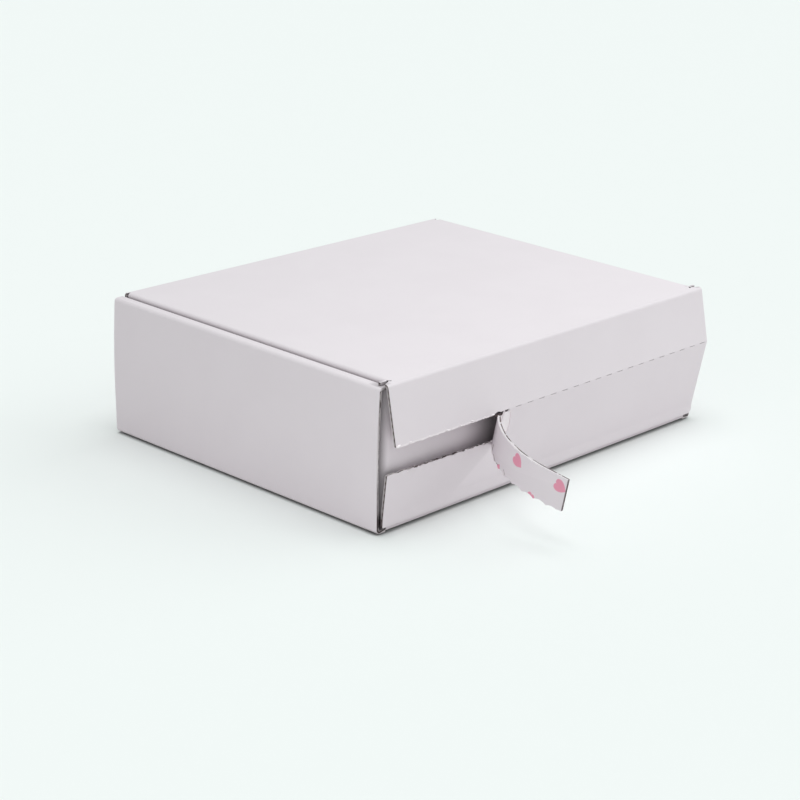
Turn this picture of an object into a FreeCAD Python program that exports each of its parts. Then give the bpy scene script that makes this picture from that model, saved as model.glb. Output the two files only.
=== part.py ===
"""Roll-end mailer box, folded from one corrugated blank, closed and sealed.

Its outer front flap is glued to the front wall, and its tear strip is pulled a third of the way.
Millimetres: X to the right, Y to the back, Z up. The origin is the middle of the base's underside.
"""
import FreeCAD, Part
import math
import os

V = FreeCAD.Vector
SAME_POINT = 1e-6

# Closed box
box_width = 250.0
box_depth = 188.0
box_height = 74.5

# Board, and the play between layers that lie on each other
board = 1.5
slip = 0.15
crease_inside = 0.4
base_crease_inside = 0.6
corner_inside = 3.6

# Rolled side walls
ear_play = 1.1
ear_gap = 0.8
side_bow = 1.0
bow_share = 0.6
base_tuck = 1.1
bow_radius = 500.0
side_setback = 0.4
tab_length = 30.0
tab_spacing = 90.0
tab_short = 0.2
corner_gap = 0.5
slot_play = 0.15
slot_end_play = 0.5

# Front and rear walls with the ears that stand inside the rolled side walls
fold_relief = 7.0
ear_length = 88.0
ear_corner = 12.0
ear_lift = 4.0

# Lid and its two ears, which hang inside the rolled side walls
lid_play = 0.2
lid_overhang = 0.6
lid_ear_height = 46.0
lid_ear_taper = 8.0
lid_ear_round = 9.0
lid_relief = 2.6
relief_width = 2.4
relief_length = 0.9
relief_setback = 1.1
ear_forward = 0.4
hinge_inset = 0.2
hinge_gap = 0.35

# Outer front flap
flap_inset = 2.8
flap_round = 2.6
foot_height = 3.5
foot_bend_height = 8.5
foot_bend_radius = 12.0
tear_crease_height = 45.9
tear_crease_bulge = 6.7
relaxed_lean = 4.7

# Tear strip: its width, how far it is torn, and the curl of the torn length
strip_width = 16.4
torn_length = 74.0
root_angle = 37.8
root_radius = 4.0
curl_angle = 93.5
curl_radius = 56.0
curl_end_run = 10.1
scallop_pitch = 7.4
scallop_depth = 1.0
torn_rise = 0.5
torn_teeth = 1.2
torn_round = 0.8
torn_lip = 0.5
cut_width = 0.3
cut_share = 0.8
cut_skin = 0.4
crease_cut_width = 0.25
crease_cut_pitch = 8.6
crease_cut_share = 0.5

# Adhesive strip between the flap's foot and the front wall
seal_thickness = 0.2
seal_width = 6.0
seal_length = 200.0
seal_round = 1.0
face_gap = 0.05

# Places that follow from the sizes above
side_x = box_width / 2
front_y = -box_depth / 2
rear_y = box_depth / 2
roll_width = 3 * board + 2 * ear_play
wall_top = box_height - board - slip
ear_top = wall_top - board - slip
base_bend = base_crease_inside + board
sharp_bend = crease_inside + board
inner_x = side_x - roll_width
ear_x = inner_x + 2 * board + ear_gap
lid_x = inner_x - lid_play
fold_x = side_x - fold_relief
base_x = side_x - base_tuck - base_bend
flap_x = side_x - flap_inset
tear_x = -flap_x + torn_length
lid_front_y = front_y - board - lid_overhang
foot_y = front_y - board - seal_thickness - 2 * face_gap
crease_y = foot_y - tear_crease_bulge
lean = math.atan2(tear_crease_bulge, tear_crease_height - foot_bend_height)
lower_length = math.hypot(tear_crease_bulge, tear_crease_height - foot_bend_height) - strip_width


def in_xy(z):
    """Plane of constant z: drawing coordinates (x, y)."""
    return lambda u, v: V(u, v, z)


def in_xz(y):
    """Plane of constant y: drawing coordinates (x, z)."""
    return lambda u, v: V(u, y, v)


def in_yz(x):
    """Plane of constant x: drawing coordinates (y, z)."""
    return lambda u, v: V(x, u, v)


def unit(a, b):
    """Unit vector from drawing point a to drawing point b."""
    length = math.hypot(b[0] - a[0], b[1] - a[1])
    return (b[0] - a[0]) / length, (b[1] - a[1]) / length


def along(point, direction, distance):
    """Drawing point moved by a distance in a direction."""
    return point[0] + direction[0] * distance, point[1] + direction[1] * distance


def straight(a, b, plane):
    """Straight edge between two drawing points, or nothing where they are the same."""
    if math.dist(a, b) < SAME_POINT:
        return []
    return [Part.LineSegment(plane(*a), plane(*b)).toShape()]


def rounded_path(points, radii, plane, offset=0.0):
    """Edges of an open line with rounded corners, moved sideways (left is positive) by offset.

    Each radius belongs to the undisplaced line at that inner point.
    """
    edges = []
    heading = unit(points[0], points[1])
    last = along(points[0], (-heading[1], heading[0]), offset)
    for before, corner, after, radius in zip(points, points[1:], points[2:], radii):
        into, out = unit(before, corner), unit(corner, after)
        turn = math.atan2(into[0] * out[1] - into[1] * out[0], into[0] * out[0] + into[1] * out[1])
        hand = math.copysign(1.0, turn)
        start = along(corner, into, -radius * math.tan(abs(turn) / 2))
        centre = along(start, (-into[1], into[0]), hand * radius)
        moved = radius - hand * offset
        arc = []
        for share in (0.0, 0.5, 1.0):
            angle = math.atan2(start[1] - centre[1], start[0] - centre[0]) + share * turn
            arc.append((centre[0] + moved * math.cos(angle), centre[1] + moved * math.sin(angle)))
        edges += straight(last, arc[0], plane)
        edges.append(Part.Arc(*[plane(*point) for point in arc]).toShape())
        last = arc[2]
    heading = unit(points[-2], points[-1])
    end = along(points[-1], (-heading[1], heading[0]), offset)
    return edges + straight(last, end, plane)


def end_caps(edges, others):
    """Straight edges that join the two ends of one row of edges to the ends of the other."""
    return [Part.LineSegment(edges[k].Vertexes[k].Point, others[k].Vertexes[k].Point).toShape()
            for k in (0, -1)]


def board_section(points, inside_radii, side, plane):
    """Closed outline of a folded board whose printed outside runs through the points.

    The board lies on the side given, 1 for left and -1 for right, and each bend has its inside radius.
    """
    radii = []
    for before, corner, after, inside in zip(points, points[1:], points[2:], inside_radii):
        into, out = unit(before, corner), unit(corner, after)
        same_hand = (into[0] * out[1] - into[1] * out[0]) * side > 0
        radii.append(inside + board if same_hand else inside)
    outside = rounded_path(points, radii, plane)
    inside = rounded_path(points, radii, plane, side * board)
    caps = end_caps(outside, inside)
    return Part.Wire(Part.__sortEdges__(outside + inside + caps))


def folded(points, inside_radii, side, plane, length_vector):
    """Solid of a folded board: its section pushed along its folds."""
    return Part.Face(board_section(points, inside_radii, side, plane)).extrude(length_vector)


def rounded_plate(points, radii, plane, depth_vector):
    """Solid with a closed outline whose corners are rounded by the radii."""
    middle = ((points[0][0] + points[-1][0]) / 2, (points[0][1] + points[-1][1]) / 2)
    edges = rounded_path([middle] + points + [middle], radii, plane)
    return Part.Face(Part.Wire(Part.__sortEdges__(edges))).extrude(depth_vector)


def block(x0, x1, y0, y1, z0, z1):
    """Box between two corners."""
    return Part.makeBox(x1 - x0, y1 - y0, z1 - z0, V(x0, y0, z0))


def mirrored(shape):
    """The same shape on the other side of the box."""
    return shape.mirror(V(0, 0, 0), V(1, 0, 0))


def rolled_side():
    """Left side wall: up outside, over the narrow top strip and down inside to its tabs."""
    y0, y1 = front_y + side_setback, rear_y - side_setback
    section = [(-base_x, 0), (-side_x + base_tuck, 0), (-side_x - side_bow, bow_share * wall_top),
               (-side_x, wall_top), (-inner_x, wall_top), (-inner_x, tab_short)]
    bends = [base_crease_inside, bow_radius, crease_inside, crease_inside]
    wall = folded(section, bends, -1, in_xz(y0), V(0, y1 - y0, 0))
    x0, x1 = -inner_x - board - crease_inside, -inner_x + slip
    bend_x = ear_x - board - corner_inside
    room = (corner_inside - corner_gap) ** 2 - (inner_x + board - bend_x) ** 2
    for end in (-1, 1):
        limit = end * (box_depth / 2 - board - corner_inside + math.sqrt(max(0.0, room)))
        y_lo, y_hi = sorted((limit, end * box_depth))
        wall = wall.cut(block(x0, x1, y_lo, y_hi, 0, wall_top - board))
    edges = [front_y] + [c + s * tab_length / 2 for c in (-tab_spacing / 2, tab_spacing / 2)
                         for s in (-1, 1)] + [rear_y]
    for y_lo, y_hi in zip(edges[::2], edges[1::2]):
        wall = wall.cut(block(x0, x1, y_lo, y_hi, 0, board + slip))
    return wall


def eared_wall(y, inward):
    """Front or rear wall with the two ears that fold back inside the rolled side walls."""
    free = y + inward * ear_length
    section = [(-ear_x, free), (-ear_x, y), (ear_x, y), (ear_x, free)]
    bends = [corner_inside, corner_inside]
    wall = folded(section, bends, inward, in_xy(base_bend), V(0, 0, ear_top - base_bend))
    for z, down in ((base_bend, 1), (ear_top, -1)):
        corner = [(free, z), (free - inward * ear_corner, z), (free, z + down * ear_corner)]
        wire = Part.makePolygon([in_yz(-side_x)(*p) for p in corner + corner[:1]])
        wall = wall.cut(Part.Face(wire).extrude(V(box_width, 0, 0)))
    for side in (-1, 1):
        corner_x = sorted((side * fold_x, side * side_x))
        wall = wall.cut(block(*corner_x, *sorted((y, free)), base_bend, base_bend + ear_lift))
    return wall


def base_panel():
    """Base with the creases of the front and rear walls, and slots for the tabs of the side walls."""
    section = [(front_y, base_bend), (front_y, 0), (rear_y, 0), (rear_y, base_bend)]
    bends = [base_crease_inside, base_crease_inside]
    base = folded(section, bends, 1, in_yz(-fold_x), V(2 * fold_x, 0, 0))
    y0, y1 = front_y + side_setback, rear_y - side_setback
    half = tab_length / 2 + slot_end_play
    for side in (-1, 1):
        base = base.fuse(block(*sorted((side * fold_x, side * base_x)), y0, y1, 0, board))
        slot_x = sorted((side * (inner_x - slot_play), side * (inner_x + board + slot_play)))
        for y in (-tab_spacing / 2, tab_spacing / 2):
            base = base.cut(block(*slot_x, y - half, y + half, -board, 2 * board))
    return base


def lid_panel():
    """Lid with its ears, hinged on the rear wall, up to the strip in front of the ears."""
    y0, y1 = front_y + lid_relief - ear_forward, rear_y - lid_relief
    low = box_height - lid_ear_height
    section = [(-lid_x, low), (-lid_x, box_height), (lid_x, box_height), (lid_x, low)]
    lid = folded(section, [crease_inside] * 2, -1, in_xz(y0), V(0, y1 - y0, 0))
    taper = [(y0, box_height), (y0 + lid_ear_taper, low), (y1 - lid_ear_taper, low), (y1, box_height)]
    outline = [(y0, 2 * box_height)] + taper + [(y1, 2 * box_height)]
    rounds = [crease_inside, 2 * sharp_bend, lid_ear_round, lid_ear_round, 2 * sharp_bend, crease_inside]
    lid = lid.common(rounded_plate(outline, rounds, in_yz(-side_x), V(box_width, 0, 0)))
    hinge = [(rear_y, ear_top), (rear_y, box_height), (y1 - board, box_height)]
    hinge_x = lid_x - hinge_inset
    rear = folded(hinge, [crease_inside], 1, in_yz(-hinge_x), V(2 * hinge_x, 0, 0))
    for side in (-1, 1):
        corner_x = sorted((side * (lid_x - sharp_bend), side * side_x))
        rear = rear.cut(block(*corner_x, y1 - 2 * board, y1 + hinge_gap, ear_top, box_height + board))
    return lid.fuse(rear)


def flap_line():
    """Outside of the lid's front strip and flap, from the lid down to the flap's foot."""
    return [(front_y + lid_relief + board, box_height), (lid_front_y, box_height),
            (crease_y, tear_crease_height), (foot_y, foot_bend_height), (foot_y, foot_height)]


def scallops(x0, x1, z0, z1, rise):
    """Arcs of the wavy tear line, from one end to the other."""
    count = max(1, round(abs(x1 - x0) / scallop_pitch))
    arcs = []
    for k in range(count):
        ends = [(x0 + (x1 - x0) * s / count, z0 + (z1 - z0) * s / count) for s in (k, k + 0.5, k + 1)]
        arcs.append([ends[0], (ends[1][0], ends[1][1] + rise), ends[2]])
    return arcs


def lower_top(angle):
    """Top of the panel under the strip, for a panel that leans out by the angle."""
    return foot_y - lower_length * math.sin(angle), foot_bend_height + lower_length * math.cos(angle)


def upper_flap():
    """Flap above the tear line, with the strip and lower panel where they are not torn."""
    line = flap_line()
    torn_end = along(line[2], unit(line[1], line[2]), torn_lip)
    upper = folded(line[:2] + [torn_end], [crease_inside], 1, in_yz(-flap_x), V(torn_length, 0, 0))
    tip = [(-flap_x, box_height + board), (-flap_x, torn_end[1]), (tear_x + board, tear_crease_height),
           (tear_x + board, box_height + board)]
    upper = upper.common(rounded_plate(tip, [torn_round] * 4, in_xz(crease_y - board),
                                       V(0, 5 * tear_crease_bulge, 0)))
    whole = folded(line, [crease_inside, crease_inside, foot_bend_radius], 1, in_yz(tear_x),
                   V(flap_x - tear_x, 0, 0))
    foot = [(tear_x - board, foot_height), (flap_x, foot_height), (flap_x, 2 * box_height),
            (tear_x - board, 2 * box_height)]
    whole = whole.common(rounded_plate(foot, [crease_inside, flap_round, crease_inside, crease_inside],
                                       in_xz(crease_y - board), V(0, 5 * tear_crease_bulge, 0)))
    return upper.fuse(whole)


def lid_corner_cutters():
    """Cuts that free the lid's front strip from its ears."""
    cutters = []
    low, high = wall_top - board, box_height + board
    for side in (-1, 1):
        end_x, end_y = side * (lid_x - sharp_bend), front_y + lid_relief
        corner = [(side * flap_x, lid_front_y + sharp_bend), (end_x, end_y), (side * side_x, end_y),
                  (side * side_x, lid_front_y + sharp_bend)]
        wire = Part.makePolygon([in_xy(low)(*p) for p in corner + corner[:1]])
        cutters.append(Part.Face(wire).extrude(V(0, 0, high - low)))
    return cutters


def lid_corner_reliefs():
    """Small notches square to the lid's corner cuts, one at the end of each."""
    reliefs = []
    for side in (-1, 1):
        relief = block(-relief_length / 2, relief_length / 2, -relief_width / 2, relief_width / 2,
                       wall_top - board, box_height + board)
        relief.rotate(V(0, 0, 0), V(0, 0, 1), -45 * side)
        end = (side * (lid_x - sharp_bend), front_y + lid_relief)
        cut = unit(end, (side * flap_x, lid_front_y + sharp_bend))
        relief.translate(V(*along(end, cut, relief_setback), 0))
        reliefs.append(relief)
    return reliefs


def lower_left_panel():
    """Panel under the torn gap. Its free end has sprung back towards the wall."""
    ends = []
    for x, angle in ((-flap_x, math.radians(relaxed_lean)), (tear_x, lean)):
        rise = 2 * scallop_depth
        top = along(lower_top(angle), (-math.sin(angle), math.cos(angle)), rise)
        line = [top, (foot_y, foot_bend_height), (foot_y, foot_height)]
        ends.append(board_section(line, [foot_bend_radius], 1, in_yz(x)))
    panel = Part.makeLoft(ends, True, True)
    z0, z1 = lower_top(math.radians(relaxed_lean))[1], lower_top(lean)[1]
    plane = in_xz(crease_y - board)
    edges = [Part.Arc(*[plane(*p) for p in arc]).toShape()
             for arc in scallops(-flap_x, tear_x, z0, z1, torn_rise)]
    sides = [(-flap_x, z0), (-flap_x, foot_height), (tear_x, foot_height), (tear_x, z1)]
    edges += rounded_path(sides, [flap_round, crease_inside / 2], plane)
    outline = Part.Face(Part.Wire(Part.__sortEdges__(edges)))
    return panel.common(outline.extrude(V(0, 5 * tear_crease_bulge, 0)))


def tear_cutters():
    """Cuts of the tear lines that are still closed: arcs below the strip, dashes on the crease.

    The arcs are cut from the inside and stop short of the printed face.
    """
    y0, z = lower_top(lean)
    y0, depth = y0 + cut_skin, 3 * board
    cutters = []
    for start, middle, end in scallops(tear_x, flap_x, z, z, scallop_depth):
        rims = []
        for lift in (0.0, cut_width):
            trim = (1 - cut_share) * (end[0] - start[0]) / 2
            low = start[1] + scallop_depth * (1 - cut_share) + lift
            ends = [(start[0] + trim, low), (middle[0], middle[1] + lift), (end[0] - trim, low)]
            rims.append(Part.Arc(*[in_xz(y0)(*p) for p in ends]).toShape())
        face = Part.Face(Part.Wire(Part.__sortEdges__(rims + end_caps(rims[:1], rims[1:]))))
        cutters.append(face.extrude(V(0, depth, 0)))
    count = int((flap_x - tear_x) / crease_cut_pitch)
    for k in range(count):
        x = tear_x + (k + 0.5) * (flap_x - tear_x) / count
        half = crease_cut_share * crease_cut_pitch / 2
        z = tear_crease_height
        cutters.append(block(x - half, x + half, crease_y - board, crease_y + 3 * board,
                             z - crease_cut_width, z))
    return cutters


def strip_plane(x, out):
    """Point of the strip's upper edge: x along the box, out from the flap's outside."""
    return V(x, crease_y - out * math.cos(lean), tear_crease_height - out * math.sin(lean))


def strip_line():
    """Inner face of the torn strip, seen along its width: out of the flap, round and away."""
    root, bent = math.radians(root_angle), math.radians(curl_angle)
    reach = curl_radius * math.tan((bent - root) / 2) + root_radius
    first = (tear_x, -board)
    corner = (first[0] - reach * math.cos(root), first[1] + reach * math.sin(root))
    run = reach + curl_end_run
    end = (corner[0] - run * math.cos(bent), corner[1] + run * math.sin(bent))
    return [(tear_x + 2 * board, -board), first, corner, end]


def torn_strip():
    """Torn length of the strip, curled out, with the bites of the tear line in its lower edge."""
    across = V(0, math.sin(lean), -math.cos(lean))
    line = strip_line()
    inside = [root_radius - board, curl_radius - board]
    strip = folded(line, inside, -1, strip_plane, across * (strip_width + torn_teeth))
    path = Part.Wire(rounded_path(line, [root_radius, curl_radius], strip_plane))
    span = scallop_pitch * 0.95
    bite = (span ** 2 / 4 + scallop_depth ** 2) / (2 * scallop_depth)
    stations = path.discretize(Distance=scallop_pitch)
    for here, there in zip(stations[1:], stations[2:]):
        middle = (here + there) / 2
        normal = (there - here).cross(across).normalize()
        centre = middle + across * (strip_width + torn_teeth + bite - scallop_depth) - normal * 2 * board
        strip = strip.cut(Part.makeCylinder(bite, 4 * board, centre, normal))
    return strip


def box_blank():
    """The whole folded blank, one piece of board."""
    side = rolled_side()
    flap = upper_flap().cut(lid_corner_cutters()).cut(tear_cutters())
    blank = base_panel().fuse([side, mirrored(side), eared_wall(front_y, 1), eared_wall(rear_y, -1),
                               lid_panel(), flap, lower_left_panel(), torn_strip()])
    return blank.cut(lid_corner_reliefs()).removeSplitter()


def seal_strip():
    """Adhesive strip on the front wall, under the foot of the flap."""
    half = seal_length / 2
    z0 = foot_height + face_gap
    corners = [(-half, z0), (half, z0), (half, z0 + seal_width), (-half, z0 + seal_width)]
    y = front_y - face_gap
    return rounded_plate(corners, [seal_round] * 4, in_xz(y), V(0, -seal_thickness, 0))


def main():
    os.makedirs("parts", exist_ok=True)
    for name, shape in (("box_blank", box_blank()), ("seal_strip", seal_strip())):
        solids = shape.Solids
        print(name, "solids", len(solids), "valid", shape.isValid(), "volume", round(shape.Volume, 1))
        (solids[0] if len(solids) == 1 else shape).exportStep("parts/" + name + ".step")


main()
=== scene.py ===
"""Looks of a closed roll-end mailer box of white corrugated board, its tear strip pulled part of the way.

Metres, in the part's own frame: X to the right, Y to the back, Z up, origin in the middle of the
base's underside. The folded board's shape comes from the solid model; this file gives it its
liners, its printed inside, its raw cut edges and the paper fibres along the tear.
"""

import logging
import math
from dataclasses import dataclass, field
from enum import Enum
from functools import reduce
from typing import Callable

import bmesh
import bpy
from mathutils import Matrix, Vector
from mathutils.bvhtree import BVHTree

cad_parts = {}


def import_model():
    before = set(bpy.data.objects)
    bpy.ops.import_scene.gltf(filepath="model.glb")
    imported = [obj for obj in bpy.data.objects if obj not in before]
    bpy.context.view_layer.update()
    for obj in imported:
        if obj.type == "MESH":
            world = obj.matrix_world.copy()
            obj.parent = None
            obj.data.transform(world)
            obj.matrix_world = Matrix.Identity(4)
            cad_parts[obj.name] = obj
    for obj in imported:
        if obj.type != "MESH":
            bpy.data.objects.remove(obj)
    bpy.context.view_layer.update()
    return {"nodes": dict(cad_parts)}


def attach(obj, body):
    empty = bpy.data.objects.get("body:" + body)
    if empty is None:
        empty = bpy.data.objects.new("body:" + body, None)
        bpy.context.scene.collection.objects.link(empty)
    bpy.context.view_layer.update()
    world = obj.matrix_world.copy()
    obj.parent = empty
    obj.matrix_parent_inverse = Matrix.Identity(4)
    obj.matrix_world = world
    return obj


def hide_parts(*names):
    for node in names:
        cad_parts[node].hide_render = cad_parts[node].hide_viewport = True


log = logging.getLogger("mailer_box")

Piece = bpy.types.Object
Material = bpy.types.Material
Tree = bpy.types.NodeTree
Node = bpy.types.Node
Socket = bpy.types.NodeSocket
Face = bmesh.types.BMFace
Place = tuple[float, float, float]
Colour = tuple[float, float, float]
Span = tuple[float, float]

MM = 0.001
PHOTO_SIZE = 800
NODE_SPACING = 180
NODE_ROWS = 5
GRAIN_SPAN = (0.2, 0.8)
HEART_CLEFT = 0.62
SAME_PLACE = 2e-6
FLAT_ANGLE = math.radians(0.3)
SMOOTH_ANGLE = math.radians(28)
PATCH_ANGLE = math.radians(50)


class Side(Enum):
    """Which part of the board a face belongs to, and the order of its material slots."""

    OUTER_LINER = 0
    INNER_LINER = 1
    CUT_EDGE = 2


@dataclass(frozen=True)
class BoardSizes:
    """Sizes of the folded board that its looks follow, in metres."""

    thickness: float = 1.5 * MM
    flute_pitch: float = 3.2 * MM
    front_y: float = -94.0 * MM
    crease_y: float = -102.5 * MM
    crease_z: float = 45.9 * MM
    foot_bend_z: float = 8.5 * MM
    flap_x: float = 122.2 * MM
    lid_front_y: float = -96.1 * MM
    lid_z: float = 74.5 * MM
    tear_x: float = -48.2 * MM
    bulge: float = 6.7 * MM
    root_angle: float = math.radians(37.8)
    root_radius: float = 4.0 * MM
    curl_angle: float = math.radians(93.5)
    curl_radius: float = 56.0 * MM

    @property
    def lean(self) -> float:
        """Angle of the flap's lower half from upright."""
        return math.atan2(self.bulge, self.crease_z - self.foot_bend_z)

    @property
    def upper_lean(self) -> float:
        """Angle of the flap's upper half from upright."""
        return math.atan2(self.lid_front_y - self.crease_y, self.lid_z - self.crease_z)

    def on_lower(self, x: float, down: float, out: float = 0.0) -> Vector:
        """Place on the flap under its middle crease: along the box, down from the crease, and outwards."""
        return Vector((x, self.crease_y + down * math.sin(self.lean) - out * math.cos(self.lean),
                       self.crease_z - down * math.cos(self.lean) - out * math.sin(self.lean)))

    def on_upper(self, x: float, up: float, out: float = 0.0) -> Vector:
        """Place on the flap over its middle crease: along the box, up from the crease, and outwards."""
        lean = self.upper_lean
        return Vector((x, self.crease_y + up * math.sin(lean) - out * math.cos(lean),
                       self.crease_z + up * math.cos(lean) + out * math.sin(lean)))


def deselect_all() -> None:
    """Leave object mode's selection empty."""
    for item in list(bpy.context.selected_objects):
        item.select_set(False)


def activate(item: Piece) -> None:
    """Select one object alone and make it active."""
    deselect_all()
    item.select_set(True)
    bpy.context.view_layer.objects.active = item


def edit_mesh(item: Piece) -> None:
    """Enter edit mode on one object with everything selected."""
    activate(item)
    bpy.ops.object.mode_set(mode="EDIT")
    bpy.ops.mesh.select_all(action="SELECT")


def leave_edit() -> None:
    """Return to object mode."""
    bpy.ops.object.mode_set(mode="OBJECT")


class NodeMaker:
    """Short calls that add and join shader nodes in one tree."""

    def __init__(self, tree: Tree) -> None:
        """Keep the tree that the nodes go into."""
        self.tree = tree

    def node(self, kind: str, **values: object) -> Node:
        """Add a node.

        Args:
            kind: the node's type name.
            values: properties to set on it.

        Returns:
            The new node.
        """
        count = len(self.tree.nodes)
        made = self.tree.nodes.new(kind)
        made.location = (count * NODE_SPACING, -(count % NODE_ROWS) * NODE_SPACING)
        for name, value in values.items():
            setattr(made, name, value)
        return made

    def feed(self, socket: Socket, value: object) -> None:
        """Link a socket, or set its value where a plain number, colour or vector is given."""
        if isinstance(value, Socket):
            self.tree.links.new(value, socket)
        elif socket.type == "RGBA":
            socket.default_value = (*value, 1.0)
        else:
            socket.default_value = value

    def math(self, operation: str, a: object, b: object = 0.0, clamp: bool = False) -> Socket:
        """Add a Math node.

        Args:
            operation: the node's operation.
            a: first socket or number.
            b: second socket or number.
            clamp: whether the result is kept between 0 and 1.

        Returns:
            The node's output.
        """
        made = self.node("ShaderNodeMath", operation=operation, use_clamp=clamp)
        self.feed(made.inputs[0], a)
        self.feed(made.inputs[1], b)
        return made.outputs[0]

    def times(self, *values: object) -> Socket:
        """Multiply sockets and numbers."""
        return reduce(lambda a, b: self.math("MULTIPLY", a, b), values)

    def plus(self, *values: object) -> Socket:
        """Add up sockets and numbers."""
        return reduce(lambda a, b: self.math("ADD", a, b), values)

    def largest(self, *values: object) -> Socket:
        """Take the largest of sockets and numbers."""
        return reduce(lambda a, b: self.math("MAXIMUM", a, b), values)

    def minus(self, a: object, b: object) -> Socket:
        """Take b from a."""
        return self.math("SUBTRACT", a, b)

    def apart(self, a: object, b: object) -> Socket:
        """How far two numbers are apart."""
        return self.math("ABSOLUTE", self.minus(a, b))

    def vector(self, operation: str, a: object, b: object = (0.0, 0.0, 0.0)) -> Node:
        """Add a Vector Math node.

        Args:
            operation: the node's operation.
            a: first socket or vector.
            b: second socket or vector.

        Returns:
            The node, whose first output is a vector and whose second is a number.
        """
        made = self.node("ShaderNodeVectorMath", operation=operation)
        self.feed(made.inputs[0], a)
        self.feed(made.inputs[1], b)
        return made

    def scale(self, vector: Socket, factor: object) -> Socket:
        """Scale a vector or a colour."""
        made = self.node("ShaderNodeVectorMath", operation="SCALE")
        self.feed(made.inputs[0], vector)
        self.feed(made.inputs["Scale"], factor)
        return made.outputs[0]

    def parts(self, vector: Socket) -> tuple[Socket, ...]:
        """Split a vector into its three numbers."""
        made = self.node("ShaderNodeSeparateXYZ")
        self.feed(made.inputs[0], vector)
        return tuple(made.outputs)

    def crevice(self, reach: float, alone: bool) -> Socket:
        """Add an Ambient Occlusion node.

        Args:
            reach: how far it looks, in metres.
            alone: whether only the piece itself counts.

        Returns:
            Its value: 1 in the open and 0 in a closed crevice.
        """
        made = self.node("ShaderNodeAmbientOcclusion", samples=16, only_local=alone)
        self.feed(made.inputs["Distance"], reach)
        return made.outputs["AO"]

    def mix(self, share: object, a: object, b: object) -> Socket:
        """Add a colour mix.

        Args:
            share: how much of b shows.
            a: colour at share 0.
            b: colour at share 1.

        Returns:
            The mixed colour.
        """
        made = self.node("ShaderNodeMix", data_type="RGBA")
        self.feed(made.inputs[0], share)
        self.feed(made.inputs[6], a)
        self.feed(made.inputs[7], b)
        return made.outputs[2]

    def ramp(self, value: object, span: Span, result: Span = (0.0, 1.0), smooth: bool = True) -> Socket:
        """Add a Map Range node.

        Args:
            value: what is mapped.
            span: inputs that give the two results.
            result: outputs at the two ends of the span.
            smooth: whether the step between is smooth.

        Returns:
            The mapped value.
        """
        made = self.node("ShaderNodeMapRange", interpolation_type="SMOOTHSTEP" if smooth else "LINEAR")
        for slot, number in zip(made.inputs[:5], (value, *span, *result)):
            self.feed(slot, number)
        return made.outputs[0]

    def fall(self, value: object, span: Span) -> Socket:
        """Smooth step from 1 down to 0 over a span."""
        return self.ramp(value, span, (1.0, 0.0))

    def noise(self, vector: Socket, scale: float, detail: float = 2.0, roughness: float = 0.5) -> Socket:
        """Add a noise texture and return its value."""
        made = self.node("ShaderNodeTexNoise")
        values = {"Vector": vector, "Scale": scale, "Detail": detail, "Roughness": roughness}
        for name, value in values.items():
            self.feed(made.inputs[name], value)
        return made.outputs["Fac"]

    def line_noise(self, place: Socket, scale: float) -> Socket:
        """Add a noise that runs along one line and return its value."""
        made = self.node("ShaderNodeTexNoise", noise_dimensions="1D")
        self.feed(made.inputs["W"], place)
        self.feed(made.inputs["Scale"], scale)
        return made.outputs["Fac"]

    def attribute(self, name: str) -> Socket:
        """Read one mesh attribute."""
        return self.node("ShaderNodeAttribute", attribute_name=name).outputs["Fac"]

    def group(self, tree: Tree, **values: object) -> Socket:
        """Place a node group, feed its named inputs and return its first output."""
        made = self.node("ShaderNodeGroup", node_tree=tree)
        for name, value in values.items():
            self.feed(made.inputs[name], value)
        return made.outputs[0]

    def bump(self, shader: Node, height: Socket, strength: float = 1.0) -> None:
        """Raise a shader's surface by a height in metres."""
        made = self.node("ShaderNodeBump")
        for name, value in {"Strength": strength, "Distance": 1.0, "Height": height}.items():
            self.feed(made.inputs[name], value)
        self.feed(shader.inputs["Normal"], made.outputs[0])


def new_group(name: str, vectors: tuple[str, ...], numbers: tuple[str, ...],
              result: str) -> tuple[NodeMaker, bpy.types.NodeOutputs, Socket]:
    """Make an empty shader node group.

    Args:
        name: the group's name.
        vectors: names of its vector inputs.
        numbers: names of its number inputs.
        result: name of its output, a number.

    Returns:
        A maker for its tree, the sockets of its inputs, and the socket of its result.
    """
    tree = bpy.data.node_groups.new(name, "ShaderNodeTree")
    for labels, kind in ((vectors, "NodeSocketVector"), (numbers, "NodeSocketFloat")):
        for label in labels:
            tree.interface.new_socket(label, in_out="INPUT", socket_type=kind)
    tree.interface.new_socket(result, in_out="OUTPUT", socket_type="NodeSocketFloat")
    make = NodeMaker(tree)
    return make, make.node("NodeGroupInput").outputs, make.node("NodeGroupOutput").inputs[0]


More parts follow.
